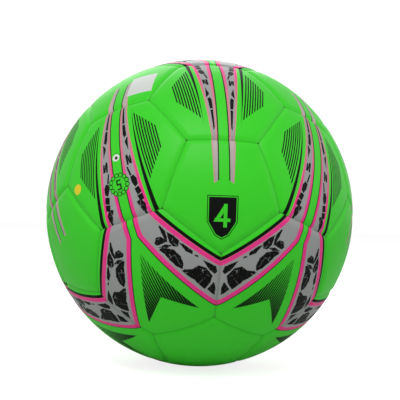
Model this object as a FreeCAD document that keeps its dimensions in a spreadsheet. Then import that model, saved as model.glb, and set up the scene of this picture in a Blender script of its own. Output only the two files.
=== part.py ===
import FreeCAD, Part
import math
import os
import Sketcher

# A laminated low-bounce ball for indoor football: 12 pentagonal and 20 hexagonal cover panels, each
# with its own foam backing, bonded over a moulded carcass, a wound nylon layer and a bladder. A push-in
# rubber valve sits in the middle of one hexagon. Everything is concentric: the origin is the centre of
# the ball, +Z is up and -Y is the front. The poles of the panel pattern lean towards the front.

os.makedirs("parts", exist_ok=True)
doc = FreeCAD.newDocument("LaminatedBall")

SIZES = [
    # alias, value, meaning (lengths in mm, angles in degrees)
    ("ballDiameter", 200.0, "over the cover, inflated"),
    ("poleTilt", 33.855, "lean of the pattern's poles from the vertical"),
    ("coverThickness", 1.2, "coated cover of each panel"),
    ("seamGap", 0.2, "between the covers of two neighbours"),
    ("cornerRound", 1.5, "radius of each cover's corners, seen from outside"),
    ("edgeRound", 0.8, "rolled outer edge of each cover"),
    ("foamThickness", 2.0, "backing of each panel"),
    ("foamGap", 0.6, "between the backings of two neighbours"),
    ("carcassThickness", 0.8, "moulded rubber carcass"),
    ("windingThickness", 0.4, "nylon yarn wound over the bladder"),
    ("bladderThickness", 0.7, "butyl bladder"),
    ("bondGap", 0.3, "cement between two layers"),
    ("plugShank", 3.8, "diameter of the valve plug below its head"),
    ("headLip", 0.3, "overhang of the plug's head beyond its shank"),
    ("plugFit", 0.05, "running clearance round the plug, on the radius"),
    ("needleChannel", 2.2, "diameter of the plug's channel for the inflating needle"),
    ("channelDepth", 12.0, "length of that channel"),
    ("plugToe", 2.0, "solid foot of the plug, below the channel"),
    ("housingNeck", 9.0, "diameter of the valve housing's neck"),
    ("neckClearance", 0.15, "round the neck, on the radius"),
    ("housingFlange", 22.0, "diameter of the housing's flange, inside the bladder"),
    ("flangeThickness", 1.2, "thickness of the flange at its rim"),
    ("housingDepth", 13.0, "from the outside of the cover to the foot of the housing"),
    ("fillingDepth", 24.0, "height of the loose filling on the bladder's floor"),
    ("fillingClearance", 0.3, "between the filling and the bladder"),
]

sheet = doc.addObject("Spreadsheet::Sheet", "Sizes")
for row, (alias, value, meaning) in enumerate(SIZES, start=1):
    sheet.set(f"A{row}", alias)
    sheet.set(f"B{row}", str(value))
    sheet.set(f"C{row}", meaning)
    sheet.setAlias(f"B{row}", alias)
doc.recompute()

# Radii from the centre of the ball, and heights along the valve's axis, worked out from the sheet.
LEVELS = [
    ("CoverOutside", "Sizes.ballDiameter / 2"),
    ("CoverInside", "CoverOutside - Sizes.coverThickness"),
    ("FoamOutside", "CoverInside - Sizes.bondGap"),
    ("FoamInside", "FoamOutside - Sizes.foamThickness"),
    ("CarcassOutside", "FoamInside - Sizes.bondGap"),
    ("CarcassInside", "CarcassOutside - Sizes.carcassThickness"),
    ("WindingOutside", "CarcassInside - Sizes.bondGap"),
    ("WindingInside", "WindingOutside - Sizes.windingThickness"),
    ("BladderOutside", "WindingInside - Sizes.bondGap"),
    ("BladderInside", "BladderOutside - Sizes.bladderThickness"),
    ("FlangeOutside", "BladderInside - Sizes.bondGap"),
    ("FlangeFoot", "sqrt(FlangeOutside^2 - (Sizes.housingFlange / 2)^2) - Sizes.flangeThickness"),
    ("NeckTop", "sqrt(CoverInside^2 - (Sizes.housingNeck / 2)^2) - Sizes.bondGap"),
    ("HousingFoot", "CoverOutside - Sizes.housingDepth"),
    ("HeadRadius", "Sizes.plugShank / 2 + Sizes.headLip"),
    ("HeadTop", "sqrt(CoverOutside^2 - HeadRadius^2)"),
    ("HeadSeat", "NeckTop + Sizes.plugFit"),
    ("ChannelFoot", "HeadTop - Sizes.channelDepth"),
    ("PlugFoot", "ChannelFoot - Sizes.plugToe"),
    ("HeadHole", "HeadRadius + Sizes.plugFit"),
    ("ShankHole", "Sizes.plugShank / 2 + Sizes.plugFit"),
    ("NeckHole", "Sizes.housingNeck / 2 + Sizes.neckClearance"),
    ("FillingOutside", "BladderInside - Sizes.fillingClearance"),
    ("FillingTop", "FillingOutside - Sizes.fillingDepth"),
    # A panel is a slice of a pyramid, cut from foot to top and trimmed to two spheres.
    ("WedgeFoot", "CoverOutside * 0.8"),
    ("WedgeTop", "CoverOutside * 1.05"),
    ("TrimFoot", "CoverOutside * 0.6"),
    ("TrimTop", "CoverOutside * 1.3"),
]

levels = doc.addObject("App::VarSet", "Levels")
for name, rule in LEVELS:
    levels.addProperty("App::PropertyFloat", name, "Levels")
for name, rule in LEVELS:
    levels.setExpression(name, rule)
doc.recompute()

# The panels are the faces of a truncated icosahedron, blown up to a sphere, so each side of a panel
# lies in a plane through the centre of the ball. FACE_DISTANCE is for an edge of 1; HALF_ANGLE is what
# the centre of the ball sees between the middle of a panel and the middle of one side.
PENTAGON = 5
HEXAGON = 6
FACE_DISTANCE = {
    PENTAGON: math.sqrt((125 + 41 * math.sqrt(5)) / 10) / 2,
    HEXAGON: (3 * math.sqrt(3) + math.sqrt(15)) / 4,
}
HALF_ANGLE = {
    sides: math.degrees(math.atan(0.5 / math.tan(math.pi / sides) / distance))
    for sides, distance in FACE_DISTANCE.items()
}
PATCH_ANGLE = 40.0
PATCH_TURN = 120.0

ORIGIN = FreeCAD.Vector(0, 0, 0)
NORMAL = FreeCAD.Vector(0, 0, 1)


def sketch_on(body, role, name):
    """An empty sketch on one of the body's own origin planes."""
    plane = next(item for item in body.Origin.OriginFeatures if item.Role == role)
    sketch = body.newObject("Sketcher::SketchObject", name)
    sketch.AttachmentSupport = [(plane, "")]
    sketch.MapMode = "FlatFace"
    return sketch


def join(sketch, *pairs):
    """Coincident points, each pair given as (geometry, point, geometry, point)."""
    for pair in pairs:
        sketch.addConstraint(Sketcher.Constraint("Coincident", *pair))


def bind(sketch, constraint, rule):
    """Adds a dimension to the sketch and binds it to the sheet."""
    index = sketch.addConstraint(constraint)
    name = f"Size{index}"
    sketch.renameConstraint(index, name)
    sketch.setExpression(f"Constraints.{name}", rule)


def side_sketch(body, name, sides, gap):
    """All that lies beyond one flat side of a panel, seen along that side."""
    lean = HALF_ANGLE[sides]
    slope = math.tan(math.radians(lean))
    shift = sheet.get(gap) / 2 / math.cos(math.radians(lean))
    far = levels.TrimTop
    places = [(-shift, 0), (far * slope - shift, far), (2 * far, far), (2 * far, 0)]
    corners = [FreeCAD.Vector(x, y, 0) for x, y in places]
    sketch = sketch_on(body, "YZ_Plane", name)
    for i in range(4):
        sketch.addGeometry(Part.LineSegment(corners[i], corners[(i + 1) % 4]))
    join(sketch, *[(i, 2, (i + 1) % 4, 1) for i in range(4)])
    sketch.addConstraint(Sketcher.Constraint("Horizontal", 1))
    sketch.addConstraint(Sketcher.Constraint("Vertical", 2))
    sketch.addConstraint(Sketcher.Constraint("PointOnObject", 0, 1, -1))
    sketch.addConstraint(Sketcher.Constraint("PointOnObject", 2, 2, -1))
    sketch.addConstraint(Sketcher.Constraint("Angle", 0, math.radians(90 - lean)))
    bind(sketch, Sketcher.Constraint("DistanceX", 0, 1, -1, 1, shift), f"Sizes.{gap} / 2 / cos({lean})")
    bind(sketch, Sketcher.Constraint("DistanceY", -1, 1, 0, 2, far), "Levels.TrimTop")
    bind(sketch, Sketcher.Constraint("DistanceX", -1, 1, 2, 1, 2 * far), "Levels.TrimTop * 2")
    return sketch


def sector_sketch(body, name, inner, outer):
    """The stretch of a ring between two radii, PATCH_ANGLE to each side of the upright axis."""
    low = getattr(levels, inner)
    high = getattr(levels, outer)
    begin = math.radians(90 - PATCH_ANGLE)
    end = math.radians(90 + PATCH_ANGLE)
    right = FreeCAD.Vector(math.cos(begin), math.sin(begin), 0)
    left = FreeCAD.Vector(math.cos(end), math.sin(end), 0)

    sketch = sketch_on(body, "XZ_Plane", name)
    inside = sketch.addGeometry(Part.ArcOfCircle(Part.Circle(ORIGIN, NORMAL, low), begin, end))
    outside = sketch.addGeometry(Part.ArcOfCircle(Part.Circle(ORIGIN, NORMAL, high), begin, end))
    starts = sketch.addGeometry(Part.LineSegment(right * low, right * high))
    ends = sketch.addGeometry(Part.LineSegment(left * low, left * high))
    ray = sketch.addGeometry(Part.LineSegment(ORIGIN, right * low), True)
    join(sketch, (inside, 3, -1, 1), (outside, 3, -1, 1), (ray, 1, -1, 1), (ray, 2, inside, 1))
    join(sketch, (inside, 1, starts, 1), (outside, 1, starts, 2))
    join(sketch, (inside, 2, ends, 1), (outside, 2, ends, 2))
    sketch.addConstraint(Sketcher.Constraint("Parallel", ray, starts))
    sketch.addConstraint(Sketcher.Constraint("Symmetric", inside, 1, inside, 2, -2))
    sketch.addConstraint(Sketcher.Constraint("Symmetric", outside, 1, outside, 2, -2))
    sketch.addConstraint(Sketcher.Constraint("Angle", -1, 1, ray, 1, begin))
    bind(sketch, Sketcher.Constraint("Radius", inside, low), f"Levels.{inner}")
    bind(sketch, Sketcher.Constraint("Radius", outside, high), f"Levels.{outer}")
    return sketch


def half_ring_sketch(body, name, inner, outer):
    """Half of the ring between two radii, above the X axis."""
    low = getattr(levels, inner)
    high = getattr(levels, outer)
    sketch = sketch_on(body, "XY_Plane", name)
    inside = sketch.addGeometry(Part.ArcOfCircle(Part.Circle(ORIGIN, NORMAL, low), 0, math.pi))
    outside = sketch.addGeometry(Part.ArcOfCircle(Part.Circle(ORIGIN, NORMAL, high), 0, math.pi))
    right = sketch.addGeometry(Part.LineSegment(FreeCAD.Vector(low, 0, 0), FreeCAD.Vector(high, 0, 0)))
    left = sketch.addGeometry(Part.LineSegment(FreeCAD.Vector(-low, 0, 0), FreeCAD.Vector(-high, 0, 0)))
    join(sketch, (inside, 3, -1, 1), (outside, 3, -1, 1))
    join(sketch, (inside, 1, right, 1), (outside, 1, right, 2))
    join(sketch, (inside, 2, left, 1), (outside, 2, left, 2))
    for arc in (inside, outside):
        for end in (1, 2):
            sketch.addConstraint(Sketcher.Constraint("PointOnObject", arc, end, -1))
    bind(sketch, Sketcher.Constraint("Radius", inside, low), f"Levels.{inner}")
    bind(sketch, Sketcher.Constraint("Radius", outside, high), f"Levels.{outer}")
    return sketch


def rod_sketch(body, name, radius, foot, top):
    """Half the section of a rod on the upright axis: its radius is a rule, its ends are levels."""
    low = getattr(levels, foot)
    high = getattr(levels, top)
    wide = 2.0
    places = ((0, low), (wide, low), (wide, high), (0, high))
    corners = [FreeCAD.Vector(x, y, 0) for x, y in places]
    sketch = sketch_on(body, "XZ_Plane", name)
    for i in range(4):
        sketch.addGeometry(Part.LineSegment(corners[i], corners[(i + 1) % 4]))
    join(sketch, *[(i, 2, (i + 1) % 4, 1) for i in range(4)])
    sketch.addConstraint(Sketcher.Constraint("Horizontal", 0))
    sketch.addConstraint(Sketcher.Constraint("Horizontal", 2))
    sketch.addConstraint(Sketcher.Constraint("Vertical", 1))
    sketch.addConstraint(Sketcher.Constraint("PointOnObject", 0, 1, -2))
    sketch.addConstraint(Sketcher.Constraint("PointOnObject", 3, 1, -2))
    bind(sketch, Sketcher.Constraint("DistanceX", 0, 1, 0, 2, wide), radius)
    bind(sketch, Sketcher.Constraint("DistanceY", -1, 1, 0, 1, low), f"Levels.{foot}")
    bind(sketch, Sketcher.Constraint("DistanceY", -1, 1, 3, 1, high), f"Levels.{top}")
    return sketch


def turn(body, kind, sketch, axis, angle=360.0, both_ways=False):
    """Revolves a sketch about one of its own axes, adding ("Revolution") or cutting ("Groove")."""
    before = body.Shape.Volume if kind == "Groove" else 0.0
    feature = body.newObject(f"PartDesign::{kind}", f"{sketch.Name}{kind}")
    feature.Profile = sketch
    feature.ReferenceAxis = (sketch, [axis])
    feature.Angle = angle
    feature.Midplane = both_ways
    sketch.Visibility = False
    doc.recompute()
    if kind == "Groove" and before - body.Shape.Volume < 1e-6:
        raise RuntimeError(f"{feature.Name} of {body.Label} cuts nothing")
    return feature


def new_body(label, placement):
    body = doc.addObject("PartDesign::Body", label)
    body.Label = label
    body.Placement = placement
    return body


def panel_body(label, placement, sides, gap, inner, outer):
    """One panel layer between two spheres, in its own frame: +Z out of the ball, a flat side at +Y."""
    body = new_body(label, placement)
    turn(body, "Revolution", sector_sketch(body, f"{label}_wall", inner, outer), "H_Axis", PATCH_TURN, True)
    side = body.newObject("PartDesign::Pocket", f"{label}_side")
    side.Profile = side_sketch(body, f"{label}_beyond", sides, gap)
    side.Type = "ThroughAll"
    side.Midplane = True
    doc.recompute()
    upright = next(item for item in body.Origin.OriginFeatures if item.Role == "Z_Axis")
    pattern = body.newObject("PartDesign::PolarPattern", f"{label}_sides")
    pattern.Originals = [side]
    pattern.Axis = (upright, [""])
    pattern.Angle = 360
    pattern.Occurrences = sides
    body.Tip = pattern
    doc.recompute()
    return body


def round_edges(body, chosen, radius):
    """Rounds the edges of a panel that `chosen` picks by the distances of their ends from the centre."""
    names = [
        f"Edge{i}" for i, edge in enumerate(body.Shape.Edges, start=1)
        if chosen([vertex.Point.Length for vertex in edge.Vertexes])
    ]
    last = body.Tip
    fillet = body.newObject("PartDesign::Fillet", f"{body.Name}_{radius}")
    fillet.Base = (last, names)
    fillet.setExpression("Radius", f"Sizes.{radius}")
    doc.recompute()


def runs_through(reaches):
    """An edge from the inside of the cover to its outside, at a corner of the panel."""
    return abs(reaches[0] - reaches[-1]) > levels.CoverOutside - levels.CoverInside - 1e-3


def lies_outside(reaches):
    """An edge on the outside of the cover."""
    return all(abs(reach - levels.CoverOutside) < 1e-3 for reach in reaches)


def bore(body, radius, foot, top):
    """A round hole along the body's Z axis."""
    turn(body, "Groove", rod_sketch(body, f"{body.Name}_bore", radius, foot, top), "V_Axis")


def shell_body(label, placement, inner, outer):
    """A whole spherical layer with the opening for the neck of the valve housing."""
    body = new_body(label, placement)
    turn(body, "Revolution", half_ring_sketch(body, f"{label}_wall", inner, outer), "H_Axis")
    bore(body, "Levels.NeckHole", "WedgeFoot", "TrimTop")
    return body


def panel_seats():
    """Every panel as (number of sides, which half of the ball, placement), in rings from each pole."""
    tilt = FreeCAD.Rotation(FreeCAD.Vector(1, 0, 0), -sheet.get("poleTilt"))
    near = HALF_ANGLE[PENTAGON] + HALF_ANGLE[HEXAGON]
    rings = [
        # sides, panels in the ring, angle from the pole, azimuth of the first in the lower half
        (PENTAGON, 1, 0.0, 90.0),
        (HEXAGON, 5, near, -126.0),
        (PENTAGON, 5, math.degrees(math.atan(2)), -90.0),
        (HEXAGON, 5, near + 2 * HALF_ANGLE[HEXAGON], -126.0),
    ]
    for half, half_turn in ((-1, 0.0), (1, 36.0)):
        for sides, count, from_pole, first in rings:
            for i in range(count):
                azimuth = math.radians(first + half_turn + 360.0 / 5 * i)
                angle = math.radians(from_pole)
                away = FreeCAD.Vector(math.cos(azimuth), math.sin(azimuth), 0)
                outward = away * math.sin(angle) + NORMAL * (half * math.cos(angle))
                flat_side = away * math.cos(angle) - NORMAL * (half * math.sin(angle))
                turned = FreeCAD.Rotation(flat_side.cross(outward), flat_side, outward, "ZYX")
                yield sides, half, FreeCAD.Placement(ORIGIN, tilt * turned)


# The valve is in the first hexagon of the lower ring next to the pattern's equator.
seats = list(panel_seats())
lower_hexagons = [placement for sides, half, placement in seats if sides == HEXAGON and half < 0]
VALVE_HEXAGON = 6
valve_seat = lower_hexagons[VALVE_HEXAGON - 1]

pieces = []
SHAPE_NAME = {PENTAGON: "pentagon", HEXAGON: "hexagon"}

# Cover panels, one node each, numbered ring by ring from the lower pole of the pattern, then from the upper one.
numbers = {PENTAGON: 0, HEXAGON: 0}
for sides, half, placement in seats:
    numbers[sides] += 1
    label = f"{SHAPE_NAME[sides]}_panel_{numbers[sides]:02d}"
    cover = panel_body(label, placement, sides, "seamGap", "CoverInside", "CoverOutside")
    round_edges(cover, runs_through, "cornerRound")
    round_edges(cover, lies_outside, "edgeRound")
    if sides == HEXAGON and numbers[sides] == VALVE_HEXAGON:
        bore(cover, "Levels.HeadHole", "WedgeFoot", "TrimTop")
    pieces.append(cover)

# Foam backings: the same shape under every panel of a kind, and one with the valve's hole.


def pad_body(label, placement, sides):
    """The foam backing of one panel."""
    return panel_body(label, placement, sides, "foamGap", "FoamInside", "FoamOutside")


pads = {
    sides: pad_body(f"{SHAPE_NAME[sides]}_pad", FreeCAD.Placement(), sides)
    for sides in (PENTAGON, HEXAGON)
}
valve_pad = pad_body("valve_pad", valve_seat, HEXAGON)
bore(valve_pad, "Levels.NeckHole", "WedgeFoot", "TrimTop")
for sides in (PENTAGON, HEXAGON):
    copies = []
    for number, placement in enumerate([seat for kind, half, seat in seats if kind == sides], start=1):
        if sides == HEXAGON and number == VALVE_HEXAGON:
            copies.append(valve_pad)
            continue
        copy = doc.addObject("App::Link", f"{SHAPE_NAME[sides]}_pad_{number:02d}")
        copy.setLink(pads[sides])
        copy.Placement = placement
        copies.append(copy)
    group = doc.addObject("Part::Compound", f"{SHAPE_NAME[sides]}_foam_pads")
    group.Label = group.Name
    group.Links = copies
    pieces.append(group)

# The closed layers under the panels, from the outside in.
pieces.append(shell_body("rubber_carcass", valve_seat, "CarcassInside", "CarcassOutside"))
pieces.append(shell_body("nylon_winding", valve_seat, "WindingInside", "WindingOutside"))
pieces.append(shell_body("bladder", valve_seat, "BladderInside", "BladderOutside"))

# Valve housing: a flange cemented inside the bladder and a neck that reaches the underside of the cover.
housing = new_body("valve_housing", valve_seat)
flange = rod_sketch(housing, "flange", "Sizes.housingFlange / 2", "FlangeFoot", "CarcassOutside")
turn(housing, "Revolution", flange, "V_Axis")
flange_seat = sector_sketch(housing, "flange_seat", "FlangeOutside", "TrimTop")
turn(housing, "Groove", flange_seat, "H_Axis", PATCH_TURN, True)
neck = rod_sketch(housing, "neck", "Sizes.housingNeck / 2", "HousingFoot", "NeckTop")
turn(housing, "Revolution", neck, "V_Axis")
bore(housing, "Levels.ShankHole", "WedgeFoot", "WedgeTop")
pieces.append(housing)

# Valve plug: head in the cover's hole, shank in the housing, a blind channel for the inflating needle.
plug = new_body("valve_plug", valve_seat)
shank = rod_sketch(plug, "shank", "Sizes.plugShank / 2", "PlugFoot", "HeadTop")
turn(plug, "Revolution", shank, "V_Axis")
head = rod_sketch(plug, "head", "Levels.HeadRadius", "HeadSeat", "HeadTop")
turn(plug, "Revolution", head, "V_Axis")
bore(plug, "Sizes.needleChannel / 2", "ChannelFoot", "WedgeTop")
pieces.append(plug)

# Loose foam that deadens the bounce, lying on the floor of the bladder.
filling = new_body("low_bounce_filling", FreeCAD.Placement())
floor_arc = sketch_on(filling, "XZ_Plane", "filling_half")
deep = levels.FillingOutside
high = levels.FillingTop
wide = math.sqrt(deep ** 2 - high ** 2)
arc = floor_arc.addGeometry(
    Part.ArcOfCircle(Part.Circle(ORIGIN, NORMAL, deep), -math.pi / 2, -math.atan2(high, wide)))
lid = floor_arc.addGeometry(Part.LineSegment(FreeCAD.Vector(wide, -high, 0), FreeCAD.Vector(0, -high, 0)))
core = floor_arc.addGeometry(Part.LineSegment(FreeCAD.Vector(0, -high, 0), FreeCAD.Vector(0, -deep, 0)))
join(floor_arc, (arc, 3, -1, 1), (arc, 2, lid, 1), (lid, 2, core, 1), (core, 2, arc, 1))
floor_arc.addConstraint(Sketcher.Constraint("PointOnObject", arc, 1, -2))
floor_arc.addConstraint(Sketcher.Constraint("PointOnObject", lid, 2, -2))
floor_arc.addConstraint(Sketcher.Constraint("Horizontal", lid))
bind(floor_arc, Sketcher.Constraint("Radius", arc, deep), "Levels.FillingOutside")
bind(floor_arc, Sketcher.Constraint("DistanceY", lid, 2, -1, 1, high), "Levels.FillingTop")
turn(filling, "Revolution", floor_arc, "V_Axis")
pieces.append(filling)

doc.recompute()
for item in doc.Objects:
    if "Invalid" in item.State or "Error" in item.State:
        raise RuntimeError(f"{item.Label} did not build: {item.State}")
for piece in pieces:
    if piece.Shape.isNull() or not piece.Shape.isValid():
        raise RuntimeError(f"{piece.Label} has no valid shape")
for piece in pieces:
    piece.Shape.exportStep(f"parts/{piece.Label}.step")
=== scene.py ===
import math

import bpy
import numpy as np
from mathutils import Matrix, Vector


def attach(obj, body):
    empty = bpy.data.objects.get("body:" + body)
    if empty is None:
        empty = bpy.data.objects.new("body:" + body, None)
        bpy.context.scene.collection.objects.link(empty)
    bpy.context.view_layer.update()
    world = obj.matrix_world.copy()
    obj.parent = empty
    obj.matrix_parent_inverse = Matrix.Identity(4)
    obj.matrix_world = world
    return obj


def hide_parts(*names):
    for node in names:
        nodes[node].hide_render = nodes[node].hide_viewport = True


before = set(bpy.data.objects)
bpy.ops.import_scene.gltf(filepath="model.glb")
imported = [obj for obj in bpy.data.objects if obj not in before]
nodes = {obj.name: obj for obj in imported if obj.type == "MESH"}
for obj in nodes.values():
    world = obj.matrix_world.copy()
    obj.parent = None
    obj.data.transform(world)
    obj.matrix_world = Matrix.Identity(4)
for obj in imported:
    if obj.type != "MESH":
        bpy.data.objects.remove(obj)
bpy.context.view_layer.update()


# --- Low-bounce filling -------------------------------------------------------------------------
# A ball of shredded foam that lies loose in the bladder and takes the bounce out of an indoor ball.
# Soft polyurethane chips in cream and straw, pressed together and skinned over.
CHIPS_PER_METRE = 160.0
CHIP_RELIEF = 0.002
CHIP_CREAM = (0.62, 0.53, 0.33)
CHIP_STRAW = (0.42, 0.31, 0.14)


class Sum:
    """A shader socket that can be used in Python sums; every operator adds one Math node."""

    def __init__(self, tree, socket):
        self.tree = tree
        self.socket = socket

    def math(self, operation, *values, clamp=False):
        node = self.tree.nodes.new("ShaderNodeMath")
        node.operation = operation
        node.use_clamp = clamp
        for place, value in enumerate(values):
            if isinstance(value, Sum):
                self.tree.links.new(value.socket, node.inputs[place])
            else:
                node.inputs[place].default_value = value
        return Sum(self.tree, node.outputs[0])

    def __add__(self, other):
        return self.math("ADD", self, other)

    __radd__ = __add__

    def __sub__(self, other):
        return self.math("SUBTRACT", self, other)

    def __rsub__(self, other):
        return self.math("SUBTRACT", other, self)

    def __mul__(self, other):
        return self.math("MULTIPLY", self, other)

    __rmul__ = __mul__

    def __truediv__(self, other):
        return self.math("DIVIDE", self, other)

    def __abs__(self):
        return self.math("ABSOLUTE", self)

    def least(self, other):
        return self.math("MINIMUM", self, other)

    def most(self, other):
        return self.math("MAXIMUM", self, other)

    def root(self):
        return self.math("POWER", self, 0.5)

    def angle_over(self, other):
        """The angle whose tangent is this over the other, all the way round."""
        return self.math("ARCTAN2", self, other)

    def part(self):
        """What is left after the whole number."""
        return self.math("FRACT", self)

    def off_line(self, step):
        """Distance to the nearest of a row of lines, one at 0 and one at every `step` from it."""
        return abs((self / step + 0.5).part() - 0.5) * step

    def clamp(self):
        return self.math("ADD", self, 0.0, clamp=True)

    def ink(self, edge=0.16):
        """A mask from a distance in mm: 1 inside, 0 outside, soft over `edge`."""
        return self.math("MULTIPLY_ADD", self, 1.0 / edge, 0.5, clamp=True)


class Graph:
    """The nodes of a material or of the world. All but the Math nodes are added by node()."""

    def __init__(self, tree):
        self.tree = tree

    def feed(self, socket, value):
        """Links a sum or another node's socket; sets a number, or a colour with full alpha."""
        if isinstance(value, Sum):
            value = value.socket
        if isinstance(value, bpy.types.NodeSocket):
            self.tree.links.new(value, socket)
        elif socket.type == "RGBA":
            socket.default_value = (*value, 1.0)
        else:
            socket.default_value = value

    def node(self, kind, settings=None, sockets=None):
        node = self.tree.nodes.new(kind)
        for key, value in (settings or {}).items():
            setattr(node, key, value)
        for key, value in (sockets or {}).items():
            self.feed(node.inputs[key], value)
        return node

    def number(self, output, kind, settings=None, sockets=None):
        """The named output of a new node, ready for sums."""
        return Sum(self.tree, self.node(kind, settings, sockets).outputs[output])


class Finish(Graph):
    """A new material with one Principled shader, given its constants by socket name."""

    def __init__(self, name, constants=None):
        self.material = bpy.data.materials.new(name)
        self.material.use_nodes = True
        super().__init__(self.material.node_tree)
        self.tree.nodes.clear()
        self.shader = self.node("ShaderNodeBsdfPrincipled", None, constants)
        self.node("ShaderNodeOutputMaterial", None, {"Surface": self.shader.outputs[0]})

    def here(self):
        """The place on the piece, in metres from the middle of the ball at rest."""
        return self.node("ShaderNodeTexCoord").outputs["Object"]

    def vary(self, name, value):
        self.feed(self.shader.inputs[name], value)

    def lay(self, mask, below, above):
        """Colour `above` laid over colour `below` where the mask is 1."""
        return self.node("ShaderNodeMix", {"data_type": "RGBA"}, {0: mask, 6: below, 7: above}).outputs[2]

    def noise(self, vector, scale, detail, roughness=0.5):
        sockets = {"Vector": vector, "Scale": scale, "Detail": detail, "Roughness": roughness}
        return self.number(0, "ShaderNodeTexNoise", None, sockets)

    def relief(self, height, distance, strength):
        """Bumps `distance` metres high, from a height between 0 and 1."""
        sockets = {"Height": height, "Distance": distance, "Strength": strength}
        self.vary("Normal", self.node("ShaderNodeBump", None, sockets).outputs[0])

    def put_on(self, *parts):
        for part in parts:
            nodes[part].data.materials.clear()
            nodes[part].data.materials.append(self.material)


filling_foam = Finish("shredded_foam", {"Roughness": 0.9})
chip_sockets = {"Vector": filling_foam.here(), "Scale": CHIPS_PER_METRE}
chip_tone = filling_foam.number("Distance", "ShaderNodeTexVoronoi", None, chip_sockets)
filling_foam.vary("Base Color", filling_foam.lay(chip_tone.clamp(), CHIP_CREAM, CHIP_STRAW))
filling_foam.relief(chip_tone, CHIP_RELIEF, 0.6)
filling_foam.put_on("low_bounce_filling")


# --- Bladder ------------------------------------------------------------------------------------
# A round balloon of black butyl rubber that holds the air, dip-moulded and dusted with talc so that
# it slides inside the winding.
DUST_CLOUDS_PER_METRE = 90.0
DUST_RELIEF = 0.0004
BUTYL = (0.022, 0.022, 0.025)
TALC = (0.20, 0.20, 0.20)

butyl = Finish("talcum_butyl")
dust = butyl.noise(butyl.here(), DUST_CLOUDS_PER_METRE, 4.0)
butyl.vary("Base Color", butyl.lay((dust * 3.0 - 1.4).clamp(), BUTYL, TALC))
butyl.vary("Roughness", 0.45 + dust * 0.35)
butyl.relief(dust, DUST_RELIEF, 0.4)
butyl.put_on("bladder")


# --- Nylon winding ------------------------------------------------------------------------------
# Fine nylon yarn wound round the bladder in every direction and set in latex, which keeps the ball
# round. Three crossing sets of yarn show as ribs in the pale latex.
YARNS_PER_METRE = 900.0
YARN_RELIEF = 0.0003
YARN_WAYS = ((0.80, 0.60, 0.0), (0.0, 0.80, 0.60), (0.60, 0.0, 0.80))
YARN = (0.70, 0.66, 0.56)
LATEX = (0.46, 0.40, 0.28)

yarn = Finish("wound_nylon", {"Roughness": 0.6})
lay = yarn.node("ShaderNodeSeparateXYZ", None, {"Vector": yarn.here()})
x, y, z = (Sum(yarn.tree, socket) for socket in lay.outputs)
ribs = None
for a, b, c in YARN_WAYS:
    rib = abs(((x * a + y * b + z * c) * YARNS_PER_METRE).part() - 0.5) * 2
    ribs = rib if ribs is None else ribs.most(rib)
yarn.vary("Base Color", yarn.lay(ribs.clamp(), LATEX, YARN))
yarn.relief(ribs, YARN_RELIEF, 0.8)
yarn.put_on("nylon_winding")


# --- Rubber carcass -----------------------------------------------------------------------------
# A thin skin of vulcanised natural rubber over the winding, the smooth ball that the panels are
# bonded to. Matt tan rubber, a little mottled from the mould.
MOTTLES_PER_METRE = 60.0
MOTTLE_RELIEF = 0.0003
TAN_RUBBER = (0.30, 0.21, 0.12)
PALE_RUBBER = (0.40, 0.29, 0.17)

rubber = Finish("carcass_rubber")
mottle = rubber.noise(rubber.here(), MOTTLES_PER_METRE, 3.0)
rubber.vary("Base Color", rubber.lay(mottle, TAN_RUBBER, PALE_RUBBER))
rubber.vary("Roughness", 0.62 + mottle * 0.2)
rubber.relief(mottle, MOTTLE_RELIEF, 0.3)
rubber.put_on("rubber_carcass")


# --- Foam pads ----------------------------------------------------------------------------------
# A pad of white closed-cell foam behind every cover panel, die-cut to the panel's outline and bonded
# to its back, which gives the ball its soft touch.
CELLS_PER_METRE = 1400.0
CELL_RELIEF = 0.0002
FOAM_WHITE = (0.78, 0.78, 0.75)
FOAM_PORE = (0.52, 0.52, 0.50)

foam = Finish("closed_cell_foam", {"Roughness": 0.85})
cell_sockets = {"Vector": foam.here(), "Scale": CELLS_PER_METRE}
pore = foam.number("Distance", "ShaderNodeTexVoronoi", None, cell_sockets)
foam.vary("Base Color", foam.lay(pore.clamp(), FOAM_WHITE, FOAM_PORE))
foam.relief(pore, CELL_RELIEF, 0.5)
foam.put_on("pentagon_foam_pads", "hexagon_foam_pads")


# --- Valve housing and plug ---------------------------------------------------------------------
# A white rubber housing moulded to the bladder, and the plug that is pushed into it from outside and
# pulled out to be renewed. Its flush round head shows in one panel, with the needle hole in it, whose
# wall is painted dark as the shade inside the hole.
BORE_AXIS = (-0.57735, -0.764427, 0.28691)
BORE_RADIUS = 0.00125
HEAD_TOP = 0.0992
SUNK_BLEND = 0.0004
BORE_BLEND = 0.00005
SMEARS_PER_METRE = 700.0
SMEAR_RELIEF = 0.00005
VALVE_WHITE = (0.78, 0.79, 0.76)
VALVE_GREY = tuple(0.8 * part for part in VALVE_WHITE)
BORE_SHADE = (0.010, 0.010, 0.010)

valve = Finish("valve_rubber")
here = valve.here()
smear = valve.noise(here, SMEARS_PER_METRE, 3.0)
aside = valve.node("ShaderNodeVectorMath", {"operation": "CROSS_PRODUCT"}, {0: here, 1: BORE_AXIS})
from_axis = valve.number("Value", "ShaderNodeVectorMath", {"operation": "LENGTH"}, {0: aside.outputs[0]})
from_middle = valve.number("Value", "ShaderNodeVectorMath", {"operation": "LENGTH"}, {0: here})
sunk = ((HEAD_TOP - from_middle) / SUNK_BLEND).clamp()
in_bore = ((BORE_RADIUS - from_axis) / BORE_BLEND).clamp()
clean = valve.lay((smear * 1.6 - 0.5).clamp(), VALVE_WHITE, VALVE_GREY)
# Painted shade: the bore below the head's top is coloured dark, as the inside of a hole looks.
valve.vary("Base Color", valve.lay(sunk.least(in_bore), clean, BORE_SHADE))
valve.vary("Roughness", 0.45 + smear * 0.2)
valve.relief(smear, SMEAR_RELIEF, 0.4)
valve.put_on("valve_housing", "valve_plug")


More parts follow.
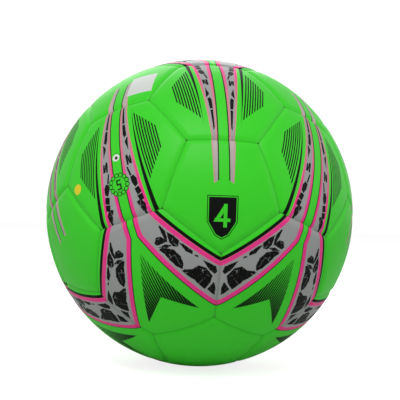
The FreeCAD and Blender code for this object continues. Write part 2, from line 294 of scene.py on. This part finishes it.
# --- Cover panels -------------------------------------------------------------------------------
# 32 pentagons and hexagons of coated synthetic leather, screen-printed flat, pressed over the carcass
# and bonded edge to edge. Heat rolls each edge down, so a soft valley about 7 mm wide runs along every
# seam, and the air inside crowns each panel a little. Lengths are in mm, but for the grain's relief.
MM = 0.001
BALL_RADIUS = 100.0
COVER_THICKNESS = 1.2
HALF_SEAM = 0.02
VALLEY_WIDTH = 3.7
VALLEY_DEPTH = 1.0
CROWN_WIDTH = 30.0
CROWN = 0.10
SEAM_LIP = 0.125
CORNER_SHARPNESS = 110.0
MIDDLE_RING = 0.6
POINTS_AROUND = 180
UNDERSIDE_RINGS = 7
POLE_TILT = math.radians(-33.855)
PENTAGON = 5
HEXAGON = 6
SHAPE_NAME = {PENTAGON: "pentagon", HEXAGON: "hexagon"}
# A face's distance from the ball's centre in the pattern of 12 pentagons and 20 hexagons, as a share
# of the edge, and the angle at the centre between the middle of the face and the middle of its side.
FACE_DISTANCE = {
    PENTAGON: math.sqrt((125 + 41 * math.sqrt(5)) / 10) / 2,
    HEXAGON: (3 * math.sqrt(3) + math.sqrt(15)) / 4,
}
HALF_ANGLE = {
    sides: math.atan(0.5 / math.tan(math.pi / sides) / distance)
    for sides, distance in FACE_DISTANCE.items()
}
# The rings of panels from a pole of the pattern to its equator: shape, name, how many, the angle from
# the pole, and the first panel's direction round it in degrees.
BELT_ANGLE = HALF_ANGLE[PENTAGON] + HALF_ANGLE[HEXAGON]
RINGS = (
    (PENTAGON, "pole", 1, 0.0, 90.0),
    (HEXAGON, "belt", 5, BELT_ANGLE, -126.0),
    (PENTAGON, "tip", 5, math.atan(2), -90.0),
    (HEXAGON, "stripe", 5, BELT_ANGLE + 2 * HALF_ANGLE[HEXAGON], -126.0),
)
# Distances from the seam at which the rolled edge has a ring of points.
EDGE_RINGS = np.array([0.0, 0.06, 0.15, 0.3, 0.5, 0.75, 1.0, 1.3, 1.65, 2.0, 2.4, 2.8, 3.3])
BROAD_RINGS = 22
VALVE_PANEL = "hexagon_panel_06"
VALVE_HOLE = 2.25
# The print of the upper stripe panels sits this much further from the equator.
UPPER_SLIDE = 4.8


def surface_height(inward):
    """Radius of the cover a distance `inward` from the seam: the ball's, less a valley that deepens as
    the 1.6th power of the nearness to the seam, less a crown's fall-off as its square."""
    near = np.clip(1 - inward / VALLEY_WIDTH, 0, 1)
    far = np.clip(1 - inward / CROWN_WIDTH, 0, 1)
    return BALL_RADIUS - VALLEY_DEPTH * near ** 1.6 - CROWN * far ** 2.0


def outline(turn, sides, sharpness):
    """How far a rounded polygon reaches in direction `turn`, where the middle of a side is at 1: the
    sides' cosines, added as their `sharpness`-th powers, so 2 is a circle and more is squarer."""
    facing = np.array([math.pi / 2 + 2 * math.pi * i / sides for i in range(sides)])
    powers = np.clip(np.cos(turn[..., None] - facing), 1e-9, None) ** sharpness[..., None]
    at_side = np.clip(np.cos(facing - facing[0]), 1e-9, None) ** sharpness[..., None]
    return (at_side.sum(-1) / powers.sum(-1)) ** (1 / sharpness)


def panel_mesh(name, sides, placement, slide, hole):
    """A closed panel: a profile from the middle of the top to the seam, down the rolled edge and back
    along the underside, carried round the panel. Every ring is a spherical polygon whose nearest
    distance to the seam is fixed; rings near the middle turn into circles. Each point keeps its place
    on the flat-printed panel as an attribute: across, along, and distance from the seam."""
    reach = BALL_RADIUS * HALF_ANGLE[sides] - HALF_SEAM
    span = reach - max(hole, MIDDLE_RING)
    top_inward = np.concatenate((EDGE_RINGS, np.linspace(4.0, span, BROAD_RINGS)))[::-1]
    below_inward = np.concatenate(([0.0], np.linspace(3.0, span, UNDERSIDE_RINGS)))
    inward = np.concatenate((top_inward, [0.0], below_inward))
    top_radius = surface_height(top_inward)
    below_radius = np.full(len(below_inward), BALL_RADIUS - COVER_THICKNESS)
    radius = np.concatenate((top_radius, [top_radius[-1] - SEAM_LIP], below_radius))
    sharpness = 2.0 + (CORNER_SHARPNESS - 2.0) * (1 - inward / span) ** 2.0

    turn = np.linspace(0, 2 * math.pi, POINTS_AROUND, endpoint=False) + math.pi / 2
    turns, angles = np.meshgrid(turn, (reach - inward) / BALL_RADIUS)
    reaches = outline(turns, sides, np.broadcast_to(sharpness[:, None], turns.shape))
    lean = np.arctan(np.tan(angles) * reaches)
    across = BALL_RADIUS * lean * np.cos(turns)
    along = BALL_RADIUS * lean * np.sin(turns)
    ray = np.stack((np.sin(lean) * np.cos(turns), np.sin(lean) * np.sin(turns), np.cos(lean)), -1)
    points = (ray * radius[:, None, None]).reshape(-1, 3)
    marks = np.stack((across, along + slide, np.broadcast_to(inward[:, None], turns.shape)), -1)
    marks = marks.reshape(-1, 3)

    grid = np.arange(turns.size).reshape(turns.shape)
    ahead = np.roll(grid, -1, axis=1)
    faces = np.stack((grid[:-1], grid[1:], ahead[1:], ahead[:-1]), -1).reshape(-1, 4).tolist()
    if hole:
        faces += np.stack((grid[-1], grid[0], ahead[0], ahead[-1]), -1).tolist()
    else:
        pole = len(points)
        points = np.concatenate((points, [[0, 0, BALL_RADIUS], [0, 0, BALL_RADIUS - COVER_THICKNESS]]))
        marks = np.concatenate((marks, [[0, slide, reach], [0, slide, reach]]))
        faces += [[pole, a, b] for a, b in zip(grid[0].tolist(), ahead[0].tolist())]
        faces += [[pole + 1, b, a] for a, b in zip(grid[-1].tolist(), ahead[-1].tolist())]
    mesh = bpy.data.meshes.new(name)
    mesh.from_pydata((points @ np.array(placement).T * MM).tolist(), [], faces)
    mesh.attributes.new("print_mm", "FLOAT_VECTOR", "POINT")
    mesh.attributes["print_mm"].data.foreach_set("vector", marks.astype(np.float32).ravel())
    mesh.polygons.foreach_set("use_smooth", np.ones(len(mesh.polygons), bool))
    mesh.update()
    piece = bpy.data.objects.new(name, mesh)
    bpy.context.scene.collection.objects.link(piece)
    return piece


def panel_places():
    """Every panel as (sides, ring, half, turning matrix), the lower half first. A panel's own axes are
    across, along, which points to the equator, and outward."""
    tilt = Matrix.Rotation(POLE_TILT, 3, "X")
    up = Vector((0, 0, 1))
    for half, half_turn in ((-1, 0.0), (1, 36.0)):
        for sides, ring, count, from_pole, first in RINGS:
            for i in range(count):
                azimuth = math.radians(first + half_turn + 72.0 * i)
                away = Vector((math.cos(azimuth), math.sin(azimuth), 0))
                outward = away * math.sin(from_pole) + up * (half * math.cos(from_pole))
                along = away * math.cos(from_pole) - up * (half * math.sin(from_pole))
                across = along.cross(outward)
                yield sides, ring, half, tilt @ Matrix((across, along, outward)).transposed()


# Satin inks on a bright green ground. The black is matt, printed over the others.
GREEN = (0.041, 0.610, 0.020)
GREEN_DARK = tuple(0.94 * part for part in GREEN)
GREEN_LIGHT = tuple(1.06 * part for part in GREEN)
# The dark green laid along the bottom of every seam is painted shade, not glue.
SEAM_SHADE_GREEN = (0.020, 0.150, 0.014)
GREY = (0.310, 0.318, 0.315)
PALE_GREY = (0.480, 0.400, 0.380)
PINK = (0.800, 0.036, 0.250)
PEACH = (0.580, 0.235, 0.260)
BLACK = (0.0030, 0.0035, 0.0030)
YELLOW = (0.750, 0.600, 0.020)
LABEL_GREY = (0.600, 0.630, 0.600)
SOFT_EDGE = 0.4
SHADES_PER_METRE = 14.0
GRAINS_PER_METRE = 1500.0
GRAIN_RELIEF = 0.00003


def cover_finish(name, draw):
    """The panel's finish: `draw` gives the colour of its print and the mask of its black. Every ink but
    the black has a satin film and a leather-fine grain; a darker green along the seam is painted shade."""
    paper = Finish(name, {"Specular IOR Level": 0.06, "Coat Roughness": 0.36})
    marks = paper.node("ShaderNodeAttribute", {"attribute_name": "print_mm"}).outputs["Vector"]
    split = paper.node("ShaderNodeSeparateXYZ", None, {"Vector": marks})
    across, along, inward = (Sum(paper.tree, socket) for socket in split.outputs)
    here = paper.here()
    cloud = paper.noise(here, SHADES_PER_METRE, 2.0)
    grain = paper.noise(here, GRAINS_PER_METRE, 2.0)
    ground = paper.lay(cloud, GREEN_DARK, GREEN_LIGHT)
    colour, black = draw(paper, ground, across, along)
    # Painted shade: a darker green laid over the last mm or so before the seam.
    seam = (0.40 - inward).ink(0.9) * 0.20
    paper.vary("Base Color", paper.lay(seam, paper.lay(black, colour, BLACK), SEAM_SHADE_GREEN))
    paper.vary("Coat Weight", (1 - black) * 0.22)
    paper.vary("Roughness", 0.40 + cloud * 0.10 + grain * 0.06)
    paper.relief(grain, GRAIN_RELIEF, 0.5)
    return paper.material


def greatest(masks):
    """The greatest of several sums: the union of shapes given as masks or as distances inside them."""
    union = masks[0]
    for mask in masks[1:]:
        union = union.most(mask)
    return union


def beside(across, along, start, end):
    """Distance to the right of the line from `start` to `end`."""
    size = math.hypot(end[0] - start[0], end[1] - start[1])
    a = (end[1] - start[1]) / size
    b = (start[0] - end[0]) / size
    return across * a + along * b - (start[0] * a + start[1] * b)


def flake(across, along, corners):
    """Distance inside a convex flake, from its corners listed clockwise: the least of the distances to
    its sides."""
    inside = beside(across, along, corners[-1], corners[0])
    for start, end in zip(corners, corners[1:]):
        inside = inside.least(beside(across, along, start, end))
    return inside


def bar(across, along, low, high):
    """Distance inside an upright rectangle between two opposite corners."""
    return (across - low[0]).least(high[0] - across).least(along - low[1]).least(high[1] - along)


def torn(paper, across, along, flakes, fray, wear):
    """Black flakes with ragged rims: the flakes' distances, the greatest of them, frayed by noise, then
    cut by hair cracks between the cells of a Voronoi pattern and pricked by small holes, both by `wear`."""
    place = paper.node("ShaderNodeCombineXYZ", None, {"X": across, "Y": along}).outputs[0]
    body = greatest([flake(across, along, corners) for corners in flakes])
    rag = (paper.noise(place, 0.8, 4.0, 0.65) - 0.5) * fray
    cells = {"Vector": place, "Scale": 0.17}
    crack = paper.number("Distance", "ShaderNodeTexVoronoi", {"feature": "DISTANCE_TO_EDGE"}, cells)
    broken = paper.noise(place, 0.25, 1.0) * 3.2 - 1.42 + (1 - wear)
    holes = (0.70 + (1 - wear) * 0.3 - paper.noise(place, 1.3, 2.0, 0.6)) * 4.0
    cracked = (crack * 5.0 - 0.03).most(broken).ink(0.2)
    return (body + rag).ink().least(cracked).least(holes.ink(SOFT_EDGE))


def plain_print(paper, ground, across, along):
    """Nothing but the green."""
    return ground, (across * 0.0).clamp()


# One side of a stripe panel, outward from its middle line: the thin line, the stripe and its pink edges,
# the heavy line and the hatching, which ends at two slanting lines, given by two points on each. A
# spread is how much further out, or how much wider, a thing is for every mm towards the belt.
THIN_LINE = 3.05
HALF_THIN_LINE = 0.32
STRIPE_START = 3.3
STRIPE_END = 10.95
STRIPE_SPREAD = 0.109
INNER_PINK_END = 4.9
INNER_PINK_SPREAD = 0.014
OUTER_PINK = 1.50
OUTER_PINK_SPREAD = 0.022
HEAVY_LINE = 13.9
HEAVY_SPREAD = 0.107
HALF_HEAVY_LINE = 0.62
HALF_HEAVY_SPREAD = 0.020
HATCH_START = 15.4
HATCH_END = 27.5
HATCH_SPREAD = 0.14
HATCH_FIRST_LINE = 16.1
HATCH_STEP = 1.52
HALF_HATCH_LINE = 0.40
HATCH_TOP = ((19.0, 20.0), (38.2, 0.0))
HATCH_FOOT = ((28.5, 0.8), (18.5, -18.0))
# The black flakes on the right-hand stripe of a stripe panel, as corners listed clockwise.
STRIPE_FLAKES = (
    ((4.6, 33.8), (5.3, 35.6), (6.5, 21.4), (5.0, 21.0)),
    ((5.0, 20.2), (6.6, 20.6), (7.6, 12.4), (6.0, 11.0), (5.2, 14.0)),
    ((7.5, 10.6), (8.3, 11.0), (8.2, 2.2), (6.3, 8.2)),
    ((5.9, -0.6), (7.0, -0.2), (7.5, -6.8), (6.3, -6.6)),
    ((6.5, -0.8), (7.4, -1.0), (9.2, -6.2), (8.0, -6.4)),
    ((8.0, -1.6), (9.0, -1.0), (9.6, -6.6), (8.6, -6.0)),
    ((5.6, -7.6), (6.6, -7.8), (8.2, -13.2), (7.0, -13.4)),
    ((7.0, -14.0), (9.0, -13.2), (10.6, -15.6), (10.8, -19.0), (9.0, -20.4), (7.4, -17.6)),
    ((8.2, -21.2), (11.0, -20.2), (12.0, -24.0), (9.2, -25.0)),
    ((8.8, -25.4), (12.0, -24.6), (12.6, -28.0), (10.0, -28.6)),
    ((7.6, -28.6), (10.8, -27.6), (12.6, -31.0), (12.0, -36.6), (11.2, -37.0)),
)


def stripe_print(paper, ground, across, along):
    """Two grey stripes that spread towards the belt, pink along both edges and paler towards the equator,
    with black flakes in them, then a heavy line that thins out and a fan of eight slanted hatch lines."""
    wide = abs(across)
    outer = STRIPE_END - along * STRIPE_SPREAD
    stripe = (wide - STRIPE_START).least(outer - wide)
    inner_pink = INNER_PINK_END - along * INNER_PINK_SPREAD - wide
    pink = inner_pink.most(wide - outer + OUTER_PINK - along * OUTER_PINK_SPREAD)
    edging = paper.lay((along * 0.030 + 0.52).clamp(), PINK, PEACH)
    colour = paper.lay(stripe.ink(), ground, paper.lay(pink.ink(SOFT_EDGE), GREY, edging))
    flakes = torn(paper, wide, along, STRIPE_FLAKES, 0.7, (along * -0.05 - 0.5).clamp())
    thin = HALF_THIN_LINE - abs(wide - THIN_LINE)
    heavy = HALF_HEAVY_LINE - along * HALF_HEAVY_SPREAD - abs(wide - HEAVY_LINE + along * HEAVY_SPREAD)
    slant = wide + along * HATCH_SPREAD
    comb = HALF_HATCH_LINE - (slant - HATCH_FIRST_LINE).off_line(HATCH_STEP)
    fan = (slant - HATCH_START).least(HATCH_END - slant)
    fan = fan.least(beside(wide, along, *HATCH_TOP)).least(beside(wide, along, *HATCH_FOOT))
    return colour, flakes.most(greatest([thin.ink(), heavy.ink(), comb.least(fan).ink()]))


# The roundel below the valve: its middle, its radius, the ring of circles, and the bars of a figure 5.
ROUNDEL = (-0.6, -16.0)
ROUNDEL_RADIUS = 6.5
CIRCLES = 13
CIRCLES_OUT = 5.35
CIRCLE_RADIUS = 1.18
HALF_CIRCLE_LINE = 0.22
FIGURE_FIVE = (
    ((-1.5, -3.2), (1.5, -2.3)),
    ((0.6, -3.2), (1.5, 0.2)),
    ((-1.5, -0.5), (1.5, 0.4)),
    ((-1.5, -0.5), (-0.6, 2.6)),
    ((-1.5, 1.9), (1.5, 2.8)),
)
DOT = (-31.0, -7.4)
DOT_RADIUS = 3.1


def valve_print(paper, ground, across, along):
    """The stripes, with a green roundel below the valve that holds a plain size number in a ring of
    small circles, and a small yellow dot at the panel's side."""
    colour, black = stripe_print(paper, ground, across, along)
    east = across - ROUNDEL[0]
    north = along - ROUNDEL[1]
    out = (east * east + north * north).root()
    share = 2 * math.pi / CIRCLES
    round_ring = (north.angle_over(east) - share / 2).off_line(share) * CIRCLES_OUT
    off_ring = out - CIRCLES_OUT
    circle = (round_ring * round_ring + off_ring * off_ring).root()
    circles = (HALF_CIRCLE_LINE - abs(circle - CIRCLE_RADIUS)).ink(0.3)
    figure = greatest([bar(east, north, low, high) for low, high in FIGURE_FIVE]).ink(0.3)
    roundel = (ROUNDEL_RADIUS - out).ink()
    black = black.least(1 - roundel).most(circles).most(figure)
    dot_east = across - DOT[0]
    dot_north = along - DOT[1]
    dot = (DOT_RADIUS - (dot_east * dot_east + dot_north * dot_north).root()).ink()
    colour = paper.lay(dot, paper.lay(roundel, colour, ground), YELLOW)
    return colour, black.least(1 - dot)


# On a tip panel the stripes spread towards the equator, and their slanting ends run through TIP_POINT.
TIP_END = 5.27
TIP_SPREAD = 0.059
TIP_POINT = (4.4, 4.0)
TIP_SLOPE = 0.8
TIP_OUTER_PINK = 0.7
TIP_END_PINK = 4.6
TIP_THIN_LINE_END = 4.9


def tip_print(paper, ground, across, along):
    """The narrow ends of two stripes, coming in from the equator and stopping at the panel's middle."""
    wide = abs(across)
    outer = TIP_END + along * TIP_SPREAD
    end = (along - TIP_POINT[1] + (wide - TIP_POINT[0]) * TIP_SLOPE) * 0.8
    stripe = (wide - STRIPE_START).least(outer - wide).least(end)
    pink = (wide - outer + TIP_OUTER_PINK).most(TIP_END_PINK - along)
    pale = paper.lay((along * 0.04).clamp(), GREY, PALE_GREY)
    colour = paper.lay(stripe.ink(), ground, paper.lay(pink.ink(0.8) * 0.8, pale, PEACH))
    thin = (HALF_THIN_LINE - abs(wide - THIN_LINE)).least(along - TIP_THIN_LINE_END)
    return colour, thin.ink()


# The badge's middle line, its top, its half width, and the upright and the crossbar of a figure 4.
BADGE_MIDDLE = -0.5
BADGE_TOP = -4.2
BADGE_HALF_WIDTH = 7.5
FIGURE_FOUR = (((0.6, -20.4), (2.6, -7.8)), ((-4.2, -17.4), (4.4, -15.6)))


def badge_print(paper, ground, across, along):
    """The stripe tips, and below them a plain black badge, square above and pointed below, in a thin
    line, with a figure 4."""
    colour, black = tip_print(paper, ground, across, along)
    middle = across - BADGE_MIDDLE
    wide = abs(middle)
    badge = (BADGE_HALF_WIDTH - wide).least(BADGE_TOP - along)
    badge = badge.least((along + 26.0 - wide * 0.55) * 0.876).least((along + 29.5 - wide * 1.62) * 0.525)
    rim = 0.22 - abs(badge + 0.75)
    slope = (1.0 - abs(middle * 0.80 - (along + 11.6) * 0.50)).least(-7.8 - along)
    slope = slope.least(along + 17.4).least(2.6 - middle)
    bars = [bar(middle, along, low, high) for low, high in FIGURE_FOUR]
    figure = greatest(bars + [slope]).ink()
    black = black.most(badge.ink()).most(rim.ink())
    return paper.lay(black.least(figure), colour, ground), black.least(1 - figure)


def label_print(paper, ground, across, along):
    """The stripe tips, and a bare oblong label of pale grey film beside them."""
    colour, black = tip_print(paper, ground, across, along)
    label = bar(across, along, (-21.4, -1.5), (-5.4, 20.5)).ink()
    return paper.lay(label, colour, LABEL_GREY), black.least(1 - label)


# The black flakes on the right-hand band of a belt panel, as corners listed clockwise.
BELT_FLAKES = (
    ((15.6, 27.9), (16.6, 27.6), (18.1, 24.0), (17.9, 20.5), (16.9, 17.0), (15.9, 21.9)),
    ((18.8, 23.4), (21.6, 20.2), (23.6, 16.4), (21.7, 13.4), (19.2, 14.5), (18.1, 18.0)),
    ((10.0, 19.6), (11.8, 22.3), (14.9, 21.9), (17.4, 18.4), (14.2, 17.9), (10.8, 17.9)),
    ((11.4, 16.7), (15.8, 17.2), (19.0, 15.4), (16.0, 14.8)),
    ((11.0, 15.6), (13.2, 16.0), (15.9, 14.9), (13.2, 12.2)),
    ((12.4, 14.4), (15.9, 14.7), (18.9, 12.9), (21.0, 8.2), (20.8, 3.6), (19.0, 0.8), (16.2, 4.1),
     (14.2, 9.1)),
    ((23.0, 15.4), (24.8, 14.1), (28.3, 8.2), (27.3, 6.6), (24.7, 9.4)),
    ((28.2, 6.2), (29.8, 4.8), (29.4, 3.8), (27.9, 5.4)),
    ((17.2, 0.2), (20.0, 0.5), (23.4, -1.0), (26.0, -6.4), (22.4, -8.8), (20.5, -4.8)),
    ((23.2, -1.2), (27.8, -0.6), (31.0, -3.4), (32.2, -9.4), (29.2, -12.9), (24.8, -14.9), (22.5, -9.1)),
    ((31.2, 1.4), (32.8, -0.6), (36.2, -5.2), (35.4, -8.6), (33.6, -9.0), (31.8, -4.6)),
    ((26.0, -15.4), (31.2, -13.2), (30.6, -17.0), (28.0, -21.0), (26.8, -18.4)),
)
# The band's inner edge, which bends at INNER_BEND, and the rim line outside the band. A line is a point
# on it and the way it faces.
INNER_EDGE = 2.4
INNER_BEND = ((2.4, 26.0), (0.920, 0.392))
RIM = ((39.2, -1.2), (0.855, 0.518))
BAND_INSET = 1.0
INNER_PINK = 2.7
OUTER_PINK_START = 3.65
HALF_RIM_LINE = 0.95
HALF_INNER_LINE = 0.28
INNER_LINE_GAP = 0.22
# The right-hand half of the arrowhead, the steps of its fine lines and of the dashes across them, and
# the height at which its gaps have closed.
ARROW_APEX = (0.0, 17.0)
ARROW_BARB = (16.5, -25.0)
ARROW_NOTCH = (0.0, -10.5)
ARROW_LINE_STEP = 1.4
ARROW_DASH_STEP = 0.95
ARROW_CLOSED = -22.0


def beyond(across, along, point, facing):
    """Distance beyond the line through `point`, on the side that it faces."""
    return (across - point[0]) * facing[0] + (along - point[1]) * facing[1]


def belt_print(paper, ground, across, along):
    """Two wide grey bands that part from the stripes above and run to the seams, pink along both edges,
    with a heavy black line outside, and between them a dark arrowhead. The arrowhead is black, with gaps
    that narrow towards its barbs: fine lines along it, more open where slanted lines cross them."""
    wide = abs(across)
    rim = beyond(wide, along, *RIM)
    inner = (wide - INNER_EDGE).least(beyond(wide, along, *INNER_BEND))
    band = inner.least(-BAND_INSET - rim)
    pink = (INNER_PINK - inner).most(rim + OUTER_PINK_START)
    colour = paper.lay(band.ink(), ground, paper.lay(pink.ink(SOFT_EDGE), GREY, PINK))
    flakes = torn(paper, wide, along, BELT_FLAKES, 1.0, 1.0)
    heavy = HALF_RIM_LINE - abs(rim)
    thin = HALF_INNER_LINE - abs(inner + INNER_LINE_GAP)
    arrow = beside(wide, along, ARROW_APEX, ARROW_BARB).least(beside(wide, along, ARROW_BARB, ARROW_NOTCH))
    gap = (along - ARROW_CLOSED) * 0.0150
    lines = (gap - across.off_line(ARROW_LINE_STEP)).ink(0.3)
    slant = across + along * 1.1 - ARROW_DASH_STEP / 2
    dashes = (0.10 + gap * 0.45 - slant.off_line(ARROW_DASH_STEP)).ink(0.3)
    dark = arrow.ink().least(1 - lines * (0.45 + dashes * 0.55))
    return colour, flakes.most(greatest([heavy.ink(), thin.ink(), dark]))


RING_FINISH = {
    "pole": cover_finish("cover_plain", plain_print),
    "tip": cover_finish("cover_tips", tip_print),
    "stripe": cover_finish("cover_stripes", stripe_print),
    "belt": cover_finish("cover_belt", belt_print),
}
SPECIAL_FINISH = {
    VALVE_PANEL: cover_finish("cover_valve", valve_print),
    "pentagon_panel_02": cover_finish("cover_badge", badge_print),
    "pentagon_panel_12": cover_finish("cover_label", label_print),
}
numbers = {PENTAGON: 0, HEXAGON: 0}
for sides, ring, half, place in panel_places():
    numbers[sides] += 1
    node = f"{SHAPE_NAME[sides]}_panel_{numbers[sides]:02d}"
    slide = UPPER_SLIDE if ring == "stripe" and half > 0 else 0.0
    hole = VALVE_HOLE if node == VALVE_PANEL else 0.0
    panel = panel_mesh(f"printed_{node}", sides, place, slide, hole)
    panel.data.materials.append(SPECIAL_FINISH.get(node, RING_FINISH[ring]))
    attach(panel, "ball")
    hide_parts(node)


# --- Floor and world ----------------------------------------------------------------------------
# A white sweep under the ball, which glows a little for the camera so that only the shadow shows on it,
# and a white backdrop that lights the ball weakly.
FLOOR_HEIGHT = -0.1002
FLOOR_HALF = 6.0
FLOOR_GLOW = 0.80
FLOOR_WHITE = (0.80, 0.80, 0.80)
WHITE = (1.0, 1.0, 1.0)
WORLD_LIGHT = 0.22
BACKDROP_LIGHT = 1.05

floor_mesh = bpy.data.meshes.new("floor")
floor_signs = ((-1, -1), (1, -1), (1, 1), (-1, 1))
floor_corners = [(a * FLOOR_HALF, b * FLOOR_HALF, FLOOR_HEIGHT) for a, b in floor_signs]
floor_mesh.from_pydata(floor_corners, [], [(0, 1, 2, 3)])
floor = bpy.data.objects.new("floor", floor_mesh)
bpy.context.scene.collection.objects.link(floor)
matt_white = {"Base Color": FLOOR_WHITE, "Roughness": 0.9, "Specular IOR Level": 0.0}
sweep = Finish("white_sweep", {**matt_white, "Emission Strength": FLOOR_GLOW})
sweep.vary("Emission Color", sweep.node("ShaderNodeLightPath").outputs["Is Camera Ray"])
floor_mesh.materials.append(sweep.material)

world = bpy.data.worlds.new("studio")
bpy.context.scene.world = world
world.use_nodes = True
world.node_tree.nodes.clear()
studio = Graph(world.node_tree)
path = studio.node("ShaderNodeLightPath").outputs
seen = greatest([Sum(studio.tree, path[f"Is {kind} Ray"]) for kind in ("Camera", "Glossy", "Transmission")])
light = studio.node("ShaderNodeBackground", None, {"Color": WHITE, "Strength": WORLD_LIGHT})
backdrop = studio.node("ShaderNodeBackground", None, {"Color": WHITE, "Strength": BACKDROP_LIGHT})
choice = studio.node("ShaderNodeMixShader", None, {0: seen, 1: light.outputs[0], 2: backdrop.outputs[0]})
studio.node("ShaderNodeOutputWorld", None, {"Surface": choice.outputs[0]})


# --- Lamps --------------------------------------------------------------------------------------
# Four square soft boxes turned to the ball: the key above the camera, two weak ones at the sides, and
# one behind. Each has its place in metres and its power in watts.
SOFT_BOX = 0.9
LAMPS = {
    "key_box": ((-0.25, -0.95, 1.20), 15.5),
    "left_box": ((-1.3, -0.5, 0.5), 2.6),
    "right_box": ((1.3, -0.4, 0.6), 3.4),
    "back_box": ((0.0, 1.1, 0.9), 5.0),
}

for name, (place, power) in LAMPS.items():
    lamp_data = bpy.data.lights.new(name, "AREA")
    lamp_data.size = SOFT_BOX
    lamp_data.energy = power
    lamp = bpy.data.objects.new(name, lamp_data)
    lamp.location = place
    lamp.rotation_euler = (-Vector(place)).to_track_quat("-Z", "Y").to_euler()
    bpy.context.scene.collection.objects.link(lamp)


# --- Camera -------------------------------------------------------------------------------------
# Half a metre from the ball's middle and level with it, a little to its left and turned slightly on its
# own axis. The shift sets the ball a little below the middle of the view.
CAMERA_DISTANCE = 0.5035
CAMERA_AZIMUTH = math.radians(-7.383)
CAMERA_ELEVATION = math.radians(-0.251)
CAMERA_ROLL = math.radians(1.935)

camera_data = bpy.data.cameras.new("camera")
camera_data.sensor_width = 36.0
camera_data.lens = 68.1
camera_data.shift_x = 0.0012
camera_data.shift_y = 0.0326
camera = bpy.data.objects.new("camera", camera_data)
bpy.context.scene.collection.objects.link(camera)
level_part = math.cos(CAMERA_ELEVATION)
east = math.sin(CAMERA_AZIMUTH) * level_part
north = -math.cos(CAMERA_AZIMUTH) * level_part
back = Vector((east, north, math.sin(CAMERA_ELEVATION)))
upright = back.to_track_quat("Z", "Y").to_matrix()
turned = (upright @ Matrix.Rotation(CAMERA_ROLL, 3, "Z")).to_4x4()
camera.matrix_world = Matrix.Translation(back * CAMERA_DISTANCE) @ turned
bpy.context.scene.camera = camera
bpy.context.scene.view_settings.view_transform = "Standard"
